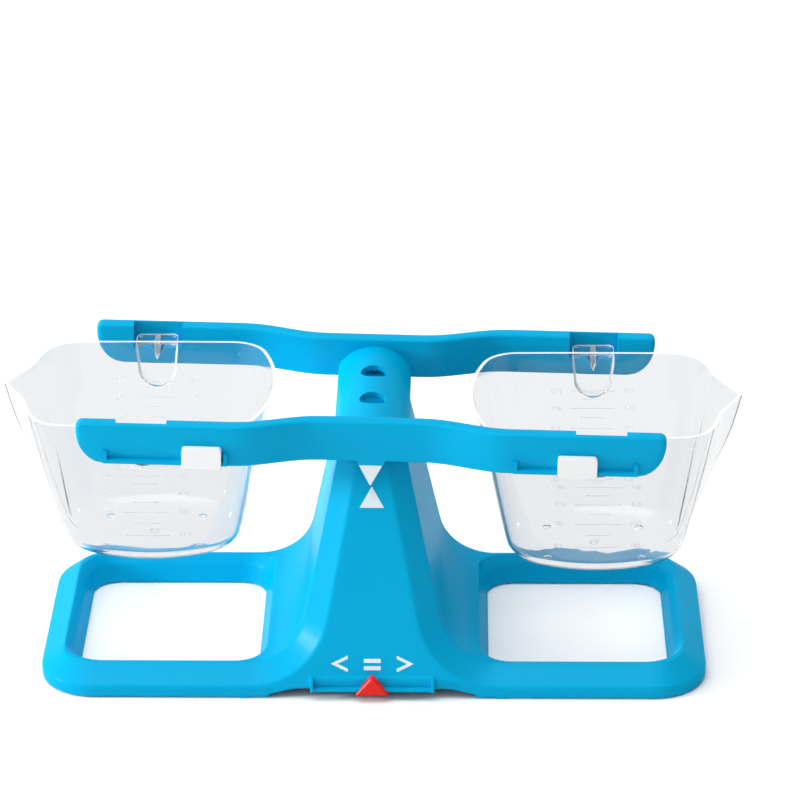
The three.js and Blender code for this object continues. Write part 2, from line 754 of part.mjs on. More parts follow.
// One ear's bracket outside the rim, on the side of sign.
function earBracket(sign) {
  const face = bucketHalfDepth;
  const far = face + flangeReach;
  const r = flangeCornerRadius;
  const back = face - bucketWall;
  const flat = roundedRectangle(-flangeHalfWidth, flangeHalfWidth, back, far, [r, r, 0, 0], 4);
  const ring = (z) => flat.map(([x, y]) => new THREE.Vector3(x, sign * y, z));
  const [y0, y1] = sign < 0 ? [-far + r / 2, -back] : [back, far - r / 2];
  const [e0, e1] = sign < 0 ? [-far, -back] : [back, far];
  let body = solidOf(loft([ring(-flangePlate), ring(0)], flatXY));
  for (const side of [-1, 1]) {
    const middle = side * cheekPlace;
    const half = cheekPlate / 2;
    body = body.add(block(middle - half, middle + half, y0, y1, -cheekDrop, -flangePlate / 2));
  }
  const half = ribPlate / 2;
  const tip = -rimAboveHang + restGap;
  const rib = [[-half, -flangePlate / 2], [-half, tip + ribTaper], [0, tip], [half, tip + ribTaper], [half, -flangePlate / 2]];
  return body.add(prismY(rib, e0, e1));
}

// The bucket, its hanging line at the origin.
function bucketGeometry() {
  let outer = bucketSolid(0, 0);
  let cavity = bucketSolid(bucketWall, overrun);
  const innerWall = bucketHalfDepth / 2;
  for (const sign of [-1, 1]) {
    outer = outer.add(earPad(0, 0, sign * innerWall, sign * bucketHalfDepth));
    cavity = cavity.add(earPad(bucketWall, overrun, sign * innerWall / 2, sign * (bucketHalfDepth - bucketWall)));
  }
  let body = outer.subtract(cavity);
  body = body.add(earBracket(-1)).add(earBracket(1));
  for (const sx of [-1, 1]) {
    for (const sy of [-1, 1]) {
      const foot = new THREE.CylinderGeometry(footRadius, footRadius, footHeight + bucketFloor / 2, footSteps);
      foot.rotateX(Math.PI / 2);
      const z = -bucketDepth - footHeight + (footHeight + bucketFloor / 2) / 2;
      foot.translate(sx * footHalfLength, sy * footHalfDepth, z);
      body = body.add(solidOf(foot));
    }
  }
  const geometry = geometryOf(body);
  geometry.translate(0, 0, rimAboveHang);
  return geometry;
}

// Assembly; the small pads under the base stand on the ground
const group = new THREE.Group();
const stand = new THREE.Group();
stand.position.z = padHeight;
group.add(stand);
const bluePlastic = (roughness) => new THREE.MeshStandardMaterial({ color: blue, roughness, metalness: 0 });

const base = new THREE.Mesh(baseGeometry(), bluePlastic(0.3));
base.name = 'base';
stand.add(base);

const marker = new THREE.Mesh(
  markerGeometry(),
  new THREE.MeshStandardMaterial({ color: red, roughness: 0.35, metalness: 0 }),
);
marker.name = 'marker';
stand.add(marker);

const tilt = THREE.MathUtils.degToRad(restTiltDegrees);
const rocker = new THREE.Group();
rocker.position.z = pivotHeight;
rocker.rotation.y = tilt;
stand.add(rocker);

const beam = new THREE.Mesh(beamGeometry(), bluePlastic(0.3));
beam.name = 'beam';
beam.position.z = -pivotHeight;
rocker.add(beam);

const sliderPlaces = [['slider_left', sliderLeftPlace], ['slider_right', sliderRightPlace]];
for (const [name, x] of sliderPlaces) {
  const slider = new THREE.Mesh(
    sliderGeometry(),
    new THREE.MeshStandardMaterial({ color: white, roughness: 0.4, metalness: 0 }),
  );
  slider.name = name;
  slider.position.set(x, 0, -pivotHeight);
  rocker.add(slider);
}

const bucketShape = bucketGeometry();
for (const [name, side] of [['bucket_left', -1], ['bucket_right', 1]]) {
  const bucket = new THREE.Mesh(
    bucketShape.clone(),
    new THREE.MeshStandardMaterial({ color: clear, roughness: 0.1, metalness: 0 }),
  );
  bucket.name = name;
  const reach = side * hangReach;
  bucket.position.set(
    reach * Math.cos(tilt) - hangDrop * Math.sin(tilt),
    0,
    pivotHeight - reach * Math.sin(tilt) - hangDrop * Math.cos(tilt),
  );
  bucket.rotation.z = side < 0 ? Math.PI : 0;
  stand.add(bucket);
}

export default group;
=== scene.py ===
# %% [markdown]
# # A bucket balance, dressed for its picture
# A bucket balance is a classroom scale: a beam rocks on a column, and a clear bucket hangs
# from each of its arms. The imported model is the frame. It is loaded first, because every
# piece is made around it, in metres, where the real one sits. A piece is drawn level and
# square, finished with modifiers, and only then turned or moved to its place, since level
# numbers are easier to read and to change.

# %% Load the frame
import bmesh
import bpy
import math
from mathutils import Matrix, Vector


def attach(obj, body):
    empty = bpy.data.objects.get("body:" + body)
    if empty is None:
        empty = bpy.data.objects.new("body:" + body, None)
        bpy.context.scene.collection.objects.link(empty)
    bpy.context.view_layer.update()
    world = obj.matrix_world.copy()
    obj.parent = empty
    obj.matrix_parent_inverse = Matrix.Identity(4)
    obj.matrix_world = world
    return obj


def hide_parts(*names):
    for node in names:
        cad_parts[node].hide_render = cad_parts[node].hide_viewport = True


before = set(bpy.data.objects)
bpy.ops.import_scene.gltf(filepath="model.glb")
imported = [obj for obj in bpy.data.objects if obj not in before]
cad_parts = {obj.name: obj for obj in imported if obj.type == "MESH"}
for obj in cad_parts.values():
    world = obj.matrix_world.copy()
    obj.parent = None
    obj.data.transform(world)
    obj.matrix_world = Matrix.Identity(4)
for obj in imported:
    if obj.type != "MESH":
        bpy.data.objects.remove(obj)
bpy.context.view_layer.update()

print("faces of the frame:", {name: len(node.data.polygons) for name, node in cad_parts.items()})

# %% [markdown]
# ## Units and the lean of the beam
# In the photograph the beam stands a little down on the right. Its pieces could be drawn in
# that leaning pose, but slanted numbers are hard to check. So sizes are in millimetres, as
# on a drawing, the beam is drawn level, and one turn about its rocking line leans all that
# rides on it. The base's underside stands a little above the table, on four small pads, and
# heights on the base and the beam are counted from that underside.

# %% Units and the rest pose
MM = 0.001
LIFT = 0.6
PIVOT_HEIGHT = 140
HANG_OUT = 116.8
HANG_HEIGHT = 132.5
TILT = math.radians(1.5)

pivot = Vector((0, 0, PIVOT_HEIGHT + LIFT)) * MM
to_tilt = Matrix.Translation(pivot) @ Matrix.Rotation(TILT, 4, "Y") @ Matrix.Translation(-pivot)
hang = {}
for side in (-1, 1):
    hang[side] = to_tilt @ (Vector((side * HANG_OUT, 0, HANG_HEIGHT + LIFT)) * MM)
    print("hanging line in mm:", [round(value / MM, 2) for value in hang[side]])

# %% [markdown]
# ## The camera
# The photograph was taken from far off with a long lens, so the base's rear edge looks
# almost as long as its front edge. A camera could be placed by eye. This one was worked out
# from the base's straight and level edges instead, so its height, turn and lens are known,
# and the pieces can be compared with the photograph line by line.

# %% Camera
PICTURE_WIDTH = 800
LENS_IN_PIXELS = 3690
SENSOR_WIDTH = 36
CAMERA_PLACE = (43.7, -1742.92, 962.8)
CAMERA_ANGLES = (25.33, -0.98, -0.293)

camera_data = bpy.data.cameras.new("camera")
camera_data.sensor_width = SENSOR_WIDTH
camera_data.lens = LENS_IN_PIXELS / PICTURE_WIDTH * SENSOR_WIDTH
camera_data.clip_end = 20
camera = bpy.data.objects.new("camera", camera_data)
bpy.context.scene.collection.objects.link(camera)

down, aside, roll = (math.radians(angle) for angle in CAMERA_ANGLES)
forward_x = math.sin(aside) * math.cos(down)
forward_y = math.cos(aside) * math.cos(down)
forward = Vector((forward_x, forward_y, -math.sin(down)))
right = Vector((math.cos(aside), -math.sin(aside), 0))
up = right.cross(forward)
right_rolled = right * math.cos(roll) + up * math.sin(roll)
up_rolled = up * math.cos(roll) - right * math.sin(roll)
turn = Matrix((right_rolled, up_rolled, -forward)).transposed().to_4x4()
camera.matrix_world = Matrix.Translation(Vector(CAMERA_PLACE) * MM) @ turn
bpy.context.scene.camera = camera
print("camera lens in mm:", round(camera_data.lens, 2))

# %% [markdown]
# ## Shader maths as expressions
# A finish is a tree of nodes, and it could be wired link by link. That hides a short sum in
# many lines, so a small class wraps a socket and overloads the signs of arithmetic: an
# expression such as 1 - mask then adds its Math nodes by itself. Every other node comes from
# one method, which takes the node's type, its settings and the values of its sockets.

# %% Shader expressions
class Value:
    """A socket that can be added, subtracted and multiplied."""

    def __init__(self, graph, socket):
        self.graph = graph
        self.socket = socket

    def __add__(self, other):
        return self.graph.maths("ADD", self, other)

    def __sub__(self, other):
        return self.graph.maths("SUBTRACT", self, other)

    def __mul__(self, other):
        return self.graph.maths("MULTIPLY", self, other)

    def __rsub__(self, other):
        return self.graph.maths("SUBTRACT", other, self)

    __radd__ = __add__
    __rmul__ = __mul__


class Graph:
    """A node tree, and the one method that adds a node to it."""

    def __init__(self, tree):
        self.tree = tree

    def node(self, kind, settings=None, inputs=None, output=0):
        made = self.tree.nodes.new(kind)
        for key, value in (settings or {}).items():
            setattr(made, key, value)
        for key, value in (inputs or {}).items():
            if isinstance(value, Value):
                self.tree.links.new(value.socket, made.inputs[key])
            else:
                made.inputs[key].default_value = value
        return Value(self, made.outputs[output])

    def maths(self, operation, first, second):
        return self.node("ShaderNodeMath", {"operation": operation}, {0: first, 1: second})

    def mix_shaders(self, share, first, second):
        return self.node("ShaderNodeMixShader", {}, {0: share, 1: first, 2: second})


print("helpers for nodes:", Value.__name__, "and", Graph.__name__)

# %% [markdown]
# The solid finishes all start from Blender's Principled shader, which suits plastic. Its
# patterns could follow a UV map, but a moulding has no natural seams to unwrap along, so
# they read Object coordinates: the grain then has one true size all over a piece and stays
# with the piece when it moves.

# %% A material with its shortcuts
class Finish(Graph):
    """A material, with shortcuts for its Principled shader."""

    def __init__(self, name):
        self.material = bpy.data.materials.new(name)
        self.material.use_nodes = True
        super().__init__(self.material.node_tree)
        self.shader = self.tree.nodes["Principled BSDF"]
        self.skin = Value(self, self.shader.outputs[0])

    def noise(self, scale, detail):
        place = self.node("ShaderNodeTexCoord", output="Object")
        values = {"Vector": place, "Scale": scale, "Detail": detail, "Roughness": 0.5}
        return self.node("ShaderNodeTexNoise", {}, values, "Fac")

    def mix(self, share, first, second):
        """Mixes two colours; a Mix node's colour sockets are its inputs 6 and 7 and output 2."""
        return self.node("ShaderNodeMix", {"data_type": "RGBA"}, {0: share, 6: first, 7: second}, 2)

    def set(self, **values):
        for key, value in values.items():
            self.shader.inputs[key.replace("_", " ")].default_value = value

    def feed(self, name, value):
        self.tree.links.new(value.socket, self.shader.inputs[name])

    def bump(self, height, strength, distance):
        values = {"Strength": strength, "Distance": distance, "Height": height}
        self.feed("Normal", self.node("ShaderNodeBump", {}, values))

    def show(self, surface):
        """Links a shader to the material's output and says what was made."""
        self.tree.links.new(surface.socket, self.tree.nodes["Material Output"].inputs["Surface"])
        print(self.material.name, "nodes:", len(self.tree.nodes))


print("helper for materials:", Finish.__name__)

# %% [markdown]
# ## Blue moulded plastic
# The base and the beam are the same opaque blue plastic. Its colour hardly varies; the eye
# reads a soft gloss and the faint grain of the mould's face. The grain could be painted as
# darker and lighter dots, but dots don't answer to the lamps, so it is a small bump of fine
# noise with a change of roughness. The plastic's own reflection is weak and blue, and a
# trace of a white gloss is mixed over it for the pale speckle on the edges.

# %% Finish: blue moulded plastic
GLOSS_SHARE = 0.005
GLOSS_ROUGHNESS = 0.28

blue = Finish("blue_moulded_plastic")
cloud = blue.noise(scale=9.0, detail=2.0)
blue.feed("Base Color", blue.mix(cloud, first=(0.0, 0.345, 0.61, 1), second=(0.0, 0.38, 0.66, 1)))
grain = blue.noise(scale=2600.0, detail=1.0)
blue.feed("Roughness", cloud * 0.06 + grain * 0.08 + 0.27)
blue.bump(grain, strength=0.3, distance=0.0002)
blue.set(IOR=1.05, Specular_Tint=(0.05, 0.75, 1, 1))
gloss_values = {"Color": (1, 1, 1, 1), "Roughness": GLOSS_ROUGHNESS}
gloss = blue.node("ShaderNodeBsdfAnisotropic", {}, gloss_values)
blue.show(blue.mix_shaders(GLOSS_SHARE, blue.skin, gloss))
BLUE = blue.material

# %% [markdown]
# ## The base
# The base is one hollow moulding: a rounded plate with two hand holes, and a column whose
# faces lean in. Its shape is already in the frame, so it could simply be given the blue
# finish. But every edge of the real one is soft, and the frame's edges are sharp, so a copy
# is dressed in its stead. The steps use the operators that a hand would use: these helpers
# select one object, work on its whole mesh in edit mode, and add and apply a modifier.

# %% Select, edit and modify
def deselect_all():
    if bpy.context.object and bpy.context.object.mode != "OBJECT":
        bpy.ops.object.mode_set(mode="OBJECT")
    bpy.ops.object.select_all(action="DESELECT")


def select_only(obj):
    deselect_all()
    obj.select_set(True)
    bpy.context.view_layer.objects.active = obj


def edit_all(obj, *steps):
    """Runs edit-mode operators, each on the whole mesh."""
    select_only(obj)
    bpy.ops.object.mode_set(mode="EDIT")
    for step in steps:
        bpy.ops.mesh.select_all(action="SELECT")
        step()
    bpy.ops.object.mode_set(mode="OBJECT")


def add_modifier(obj, kind, **settings):
    select_only(obj)
    modifier = obj.modifiers.new(kind.title(), kind)
    for key, value in settings.items():
        setattr(modifier, key, value)
    bpy.ops.object.modifier_apply(modifier=modifier.name)


deselect_all()
print("selected now:", len(bpy.context.selected_objects))

# %% [markdown]
# A node of the frame is a mesh of loose triangles with normals of its own. An edge that two
# loose triangles only seem to share can't be rounded, and the old normals would leave dark
# teeth once the shape changes. So the copy's points are merged and its normals are cleared.

# %% A copy of the base
def copy_of_node(node, name):
    """A merged copy of a frame node's mesh, to be dressed in its stead."""
    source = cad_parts[node]
    obj = bpy.data.objects.new(name, source.data.copy())
    bpy.context.scene.collection.objects.link(obj)
    obj.data.materials.clear()
    edit_all(obj, lambda: bpy.ops.mesh.remove_doubles(threshold=0.000002))
    bpy.ops.mesh.customdata_custom_splitnormals_clear()
    return obj


shell = copy_of_node("base", "base_shell")
print("merged copy of the base:", len(shell.data.vertices), "points")

# %% [markdown]
# Bevels could round the copy, but they break up where many thin triangles meet. A fine voxel
# remesh, relaxed with the Smooth modifier, rounds all edges alike, and Decimate then thins
# the mesh where it is flat. This would eat thin rails, so the ledge with its stops, the
# cradles and the pads are cut off first, to be made again as crisp pieces.

# %% Base shell
SHELL_TOP = 127.5 + LIFT
FRONT = -73.2
CUT_SLACK = 0.02
VOXEL = 0.75
RELAX_ROUNDS = 8
FACES_KEPT = 0.22


def cut_off(obj, point, normal):
    """Bisects the mesh and fills the cut; what lies on the normal's side is dropped."""
    edit_all(obj, lambda: bpy.ops.mesh.bisect(
        plane_co=Vector(point) * MM, plane_no=normal, use_fill=True, clear_outer=True))


cut_off(shell, (0, FRONT - CUT_SLACK, 0), (0, -1, 0))
cut_off(shell, (0, 0, SHELL_TOP + CUT_SLACK), (0, 0, 1))
cut_off(shell, (0, 0, LIFT - CUT_SLACK), (0, 0, -1))
add_modifier(shell, "REMESH", mode="VOXEL", voxel_size=VOXEL * MM)
add_modifier(shell, "SMOOTH", factor=0.5, iterations=RELAX_ROUNDS)
print("shell before thinning:", len(shell.data.polygons), "faces")
add_modifier(shell, "DECIMATE", ratio=FACES_KEPT, use_collapse_triangulate=True)

# %% [markdown]
# A piece is handed over in the same way each time: it is shaded smooth up to an angle, gets
# its finish, is attached to the body it rides on, and the frame's node it stands in for is
# hidden. The shell is round everywhere, so it is smooth at any angle. Crisp pieces keep their
# sharp edges, and the Weighted Normal modifier keeps their flat faces flat beside a bevel.

# %% Hand the shell over
def smooth(obj, angle, weighted=True):
    select_only(obj)
    bpy.ops.object.shade_smooth_by_angle(angle=math.radians(angle))
    if weighted:
        add_modifier(obj, "WEIGHTED_NORMAL", keep_sharp=True, weight=60)


def finish_piece(obj, body, slot, material, *nodes):
    obj.data.materials.clear()
    obj.data.materials.append(material)
    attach(obj, body)
    if nodes:
        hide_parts(*nodes)
    print(obj.name, "faces:", len(obj.data.polygons))


smooth(shell, 180, weighted=False)
finish_piece(shell, "base", "blue", BLUE, "base")

# %% [markdown]
# ## The ledge and its stops
# Under the signs a thin ledge carries the marker, between two upright stops. All three are
# plain bars with a small radius on each edge. They could be drawn as outlines and extruded,
# but a cube at its size and place, with a fine bevel, gives the same bar in two steps.

# %% Ledge and stops
LEDGE_HALF = 32.3
LEDGE_LOW = 4.7
LEDGE_HIGH = 6.6
LEDGE_REACH = 2.2
LEDGE_ROOT = 1
STOP_INNER = 30.6
STOP_HIGH = 12
STOP_REACH = 3
STOP_ROOT = 1.6


def base_z(z):
    """The height above the table of a point z above the base's underside."""
    return z + LIFT


def name_new(name):
    obj = bpy.context.object
    obj.name = name
    obj.data.name = name
    return obj


def block(name, low, high):
    """A cube primitive between two corners, in millimetres."""
    deselect_all()
    low, high = Vector(low), Vector(high)
    bpy.ops.mesh.primitive_cube_add(size=1, location=(low + high) / 2 * MM, scale=(high - low) * MM)
    obj = name_new(name)
    bpy.ops.object.transform_apply(location=True, rotation=True, scale=True)
    return obj


def round_edges(obj, width, segments):
    """Bevels every edge that is sharper than 30 degrees."""
    add_modifier(
        obj, "BEVEL", width=width * MM, segments=segments, limit_method="ANGLE",
        angle_limit=math.radians(30), use_clamp_overlap=True, harden_normals=False,
    )
    return obj


ledge_low = (-LEDGE_HALF, FRONT - LEDGE_REACH, base_z(LEDGE_LOW))
ledge_high = (LEDGE_HALF, FRONT + LEDGE_ROOT, base_z(LEDGE_HIGH))
fittings = [round_edges(block("ledge", ledge_low, ledge_high), 0.25, 2)]
for side in (-1, 1):
    x0, x1 = sorted((side * LEDGE_HALF, side * STOP_INNER))
    stop_low = (x0, FRONT - STOP_REACH, base_z(LEDGE_LOW))
    stop_high = (x1, FRONT + STOP_ROOT, base_z(STOP_HIGH))
    fittings.append(round_edges(block("stop", stop_low, stop_high), 0.45, 3))
print("bars made:", len(fittings))

# %% [markdown]
# ## The cradles
# On the column's head two notched cradles hold the beam's rocking edges. Each is a flat
# outline with some thickness, so it is lofted: a filled circle primitive takes the places of
# the first outline's points, and is extruded once for each further outline. Spinning or
# carving couldn't give the flat notch as simply, and the same helper serves every other
# solid here that is known by its outlines, up to the buckets.

# %% Cradles
CRADLE_OUTLINE = [(-14, 124), (14, 124), (6.5, 141), (1.8, 141), (0, 139.7), (-1.8, 141), (-6.5, 141)]
CRADLE_INNER = 25
CRADLE_OUTER = 35


def loft(name, rings):
    """A closed solid: the first ring is a filled circle, extruded once for each next ring."""
    deselect_all()
    bpy.ops.mesh.primitive_circle_add(vertices=len(rings[0]), radius=MM, fill_type="NGON")
    obj = name_new(name)
    bpy.ops.object.mode_set(mode="EDIT")
    mesh = bmesh.from_edit_mesh(obj.data)
    place = mesh.verts.layers.int.new("place")
    for index, vert in enumerate(sorted(mesh.verts, key=lambda v: v.index)):
        vert[place] = index
        vert.co = Vector(rings[0][index]) * MM
    bmesh.update_edit_mesh(obj.data)
    for ring in rings[1:]:
        bpy.ops.mesh.extrude_region_move()
        mesh = bmesh.from_edit_mesh(obj.data)
        place = mesh.verts.layers.int["place"]
        for vert in mesh.verts:
            if vert.select:
                vert.co = Vector(ring[vert[place]]) * MM
        bmesh.update_edit_mesh(obj.data)
    bpy.ops.mesh.select_all(action="SELECT")
    bpy.ops.mesh.normals_make_consistent(inside=False)
    bpy.ops.object.mode_set(mode="OBJECT")
    return obj


for side in (-1, 1):
    y_pair = sorted((side * CRADLE_INNER, side * CRADLE_OUTER))
    cradle = loft("cradle", [[(x, y, base_z(z)) for x, z in CRADLE_OUTLINE] for y in y_pair])
    fittings.append(round_edges(cradle, 0.5, 3))
    print("cradle faces:", len(cradle.data.polygons))

# %% [markdown]
# ## The pads
# Four small pads keep the base off the table. They are bevelled cubes as well. All the crisp
# fittings are then joined into one piece, because they are part of one moulding and always
# move together, and one piece is easier to keep in order than nine.

# %% Pads, and all fittings as one piece
PAD_X = 67
PAD_Y = 71.9
PAD_SIZE = Vector((5, 2, 2))


def joined(name, pieces):
    deselect_all()
    for piece in pieces:
        piece.select_set(True)
    bpy.context.view_layer.objects.active = pieces[0]
    bpy.ops.object.join()
    return name_new(name)


for side in (-1, 1):
    for end in (-1, 1):
        low = Vector((end * PAD_X - PAD_SIZE.x / 2, side * PAD_Y - PAD_SIZE.y / 2, 0))
        fittings.append(round_edges(block("pad", low, low + PAD_SIZE), 0.25, 2))
fittings = joined("base_fittings", fittings)
smooth(fittings, 35)
finish_piece(fittings, "base", "blue", BLUE)

# %% [markdown]
# ## White and red plastic, and white ink
# The sliders are white plastic, the marker is red plastic, and the signs are white ink. They
# could be three flat colours, but even a plain moulding shows a slow cloud in its colour and
# a fine grain in its gloss. One function therefore makes all three, from two near shades and
# a roughness: the ink is the dullest, and the blue under it shows a little in its colour.

# %% Finish: white, red and ink
def coloured_plastic(name, dark, light, rough):
    finish = Finish(name)
    cloud = finish.noise(scale=40.0, detail=2.0)
    finish.feed("Base Color", finish.mix(cloud, (*dark, 1), (*light, 1)))
    grain = finish.noise(scale=3000.0, detail=1.0)
    finish.feed("Roughness", grain * 0.1 + rough)
    finish.bump(grain, strength=0.08, distance=0.0002)
    finish.set(IOR=1.3)
    finish.show(finish.skin)
    return finish.material


WHITE = coloured_plastic("white_moulded_plastic", (0.80, 0.81, 0.82), (0.86, 0.86, 0.86), 0.3)
RED = coloured_plastic("red_moulded_plastic", (0.69, 0.010, 0.005), (0.79, 0.015, 0.008), 0.28)
PRINT = coloured_plastic("white_print", (0.68, 0.77, 0.81), (0.73, 0.82, 0.86), 0.45)

# %% [markdown]
# ## The printed signs
# The signs are printed on the leaning front face: less, equal, more, and an upright triangle
# that the beam's pointer meets when the load is even. A mask in the blue finish could draw
# them, but its borders would be only as sharp as the picture that it is later baked into.
# Ink is thin but real, so each sign is an outline on the face, raised by a tenth of a
# millimetre and sunk a little into the face so that no gap shows.

# %% Printed signs
FACE_LEAN = 0.22
FACE_START = 6.4
INK_DEPTHS = (-0.25, 0.1)
CHEVRON_FAR = 12.7
CHEVRON_TIP = 21.5
CHEVRON_MIDDLE = 18.85
CHEVRON_HALF = 4.35
STROKE = 1.75
TIP_TRIM = 1.05
BAR_LOWS = (15.5, 19.4)
BAR_HALF = 4.4
BAR_THICK = 2.1
TRIANGLE = [(-6.3, 100.6), (6.3, 100.6), (0, 111.6)]


def on_face(x, z, proud):
    """A point on the column's front face, at z above the base's underside."""
    return (x, FRONT + FACE_LEAN * (z - FACE_START) - proud, base_z(z))


def printed(name, outline, surface):
    return loft(name, [[surface(x, z, proud) for x, z in outline] for proud in INK_DEPTHS])


def chevron(side):
    far, tip = CHEVRON_FAR * side, CHEVRON_TIP * side
    low, high = CHEVRON_MIDDLE - CHEVRON_HALF, CHEVRON_MIDDLE + CHEVRON_HALF
    inner = tip + (far - tip) * STROKE / CHEVRON_HALF / TIP_TRIM
    return [(tip, CHEVRON_MIDDLE), (far, high), (far, high - STROKE),
            (inner, CHEVRON_MIDDLE), (far, low + STROKE), (far, low)]


signs = [printed("sign", chevron(side), on_face) for side in (-1, 1)]
for low in BAR_LOWS:
    high = low + BAR_THICK
    bar = [(-BAR_HALF, low), (BAR_HALF, low), (BAR_HALF, high), (-BAR_HALF, high)]
    signs.append(printed("bar", bar, on_face))
signs.append(printed("triangle", TRIANGLE, on_face))
signs = joined("base_printed_signs", signs)
smooth(signs, 20, weighted=False)
finish_piece(signs, "base", "white", PRINT)

# %% [markdown]
# ## The beam
# The beam is one moulding too: a hollow arm in front, one behind, and an arched bridge with
# two round holes between them. Its rails and webs are thinner than a voxel remesh would
# keep, and its main radii are in the frame already. So the merged copy keeps its points, and
# only its shading is made smooth, up to the angle at which a real edge begins.

# %% Beam
BEAM_SMOOTH = 32

beam = copy_of_node("beam", "beam_body")
smooth(beam, BEAM_SMOOTH, weighted=False)
finish_piece(beam, "beam", "blue", BLUE, "beam")

# %% [markdown]
# The pointer hangs from the middle of the front arm, and its face is painted white down to
# the tip. It could be a second material on the beam's own faces, but the paint's border
# doesn't follow their edges, so it is a thin outline like the signs. It is drawn on the level
# beam and then leans with it.

# %% Pointer paint
POINTER_FACE = -55.5
POINTER_PAINT = [(-5.9, 126.3), (5.9, 126.3), (0.35, 115.3), (-0.35, 115.3)]


def on_pointer(x, z, proud):
    """A point on the pointer's front face, at z above the base's underside."""
    return (x, POINTER_FACE - proud, base_z(z))


def moved(obj, matrix):
    """Puts a finished piece in its place, with the place in its mesh."""
    obj.data.transform(matrix)
    return obj


pointer = moved(printed("beam_pointer_paint", POINTER_PAINT, on_pointer), to_tilt)
smooth(pointer, 20, weighted=False)
finish_piece(pointer, "beam", "white", PRINT)

# %% [markdown]
# ## Sliders and marker
# Two white clips ride on the front arm's track and trim the balance, and a red triangle
# slides on the ledge. All three are small hard mouldings with flat faces, and their exact fit
# on the rails is in the frame. They could be drawn anew, but a copy keeps that fit: its flat
# faces are first dissolved into whole ones, so that a fine bevel runs cleanly along each edge.

# %% Sliders and marker
CLIP_ROUND = 0.3

for node, body, slot, material in (
    ("slider_left", "slider_left", "white", WHITE),
    ("slider_right", "slider_right", "white", WHITE),
    ("marker", "marker", "red", RED),
):
    clip = copy_of_node(node, node + "_body")
    edit_all(clip, lambda: bpy.ops.mesh.dissolve_limited(angle_limit=math.radians(1)))
    round_edges(clip, CLIP_ROUND, 2)
    smooth(clip, 35)
    finish_piece(clip, body, slot, material, node)

# %% [markdown]
# ## The buckets
# Each bucket is one thin clear moulding: a rounded box that leans in towards its floor, with
# a pouring lip at one end, a round-bottomed ear in each long wall, a flange over each ear
# that hangs in the arm's pocket, and four small feet. It could be a subdivision surface, but
# its walls and ribs have exact places on the beam. So it is built as a toolmaker would: an
# outer solid, a smaller one for the room inside, and small solids joined to it. The outline
# at any depth comes first. It is drawn about the bucket's middle, with depths counted down
# from the rim.

# %% Bucket sizes
DEPTH = 87.4
WALL = 1.8
FLOOR = 2.0
RIM = 11.2
HALF_LENGTH = 66.4
HALF_WIDTH = 52.8
END_TAPER = 0.24
SIDE_TAPER = 0.17
CORNER_ROUND = 20
CORNER_GROWTH = 0.05
END_BOW = 112
SIDE_BOW = 75
STRAIGHTEST = 0.03
LIP_REACH = 9.6
LIP_HALF = 22.6
LIP_STEPS = 8
NARROWEST_LIP = 0.02
LIP_PROFILE = [(0, 1), (0.04, 1), (0.12, 1), (0.22, 0.97), (0.3, 0.9), (0.42, 0.7), (0.52, 0.53),
               (0.63, 0.42), (0.74, 0.3), (0.85, 0.16), (0.93, 0.05), (1, 0)]
print("bucket in mm:", 2 * HALF_LENGTH, "long,", 2 * HALF_WIDTH, "wide,", DEPTH, "deep")

# %% [markdown]
# The ends of a bucket bow out a little, and so do its long sides near the floor, though they
# are straight at the rim. Four rounded corners join them without a kink. The outline could
# be drawn by eye at each height, but arcs with worked-out centres stay smooth all the way
# down: a corner's centre is where a circle about the end's centre crosses one about the
# side's centre, each drawn smaller by the corner's own radius.

# %% Bucket outline
def arc(u, v, radius, start, end, steps):
    angles = [math.radians(start + (end - start) * i / steps) for i in range(steps + 1)]
    return [(u + radius * math.cos(a), v + radius * math.sin(a)) for a in angles]


def along(profile, x):
    """The height of a profile at x, between the two points beside it."""
    for (x0, y0), (x1, y1) in zip(profile, profile[1:]):
        if x <= x1:
            return y0 + (y1 - y0) * (x - x0) / (x1 - x0)
    return profile[-1][1]


def bow_of_side(share):
    """The radius of a long side, at a share of the depth: long at the rim, short at the floor."""
    return SIDE_BOW / max(STRAIGHTEST, share ** 2)


def lip_points(share, inset, half_length, end_x, end_radius):
    """The straight flank of the pouring lip, and the angle at which it meets the end."""
    reach = LIP_REACH * along(LIP_PROFILE, share)
    crease = (LIP_HALF - inset / 2) * max(NARROWEST_LIP, 1 - share ** 1.5)
    crease_turn = math.degrees(math.asin(crease / end_radius))
    crease_x = end_x + end_radius * math.cos(math.radians(crease_turn))
    points = []
    for i in range(LIP_STEPS):
        y = crease * i / LIP_STEPS
        points.append((half_length + reach + (crease_x - half_length - reach) * y / crease, y))
    return points, crease_turn


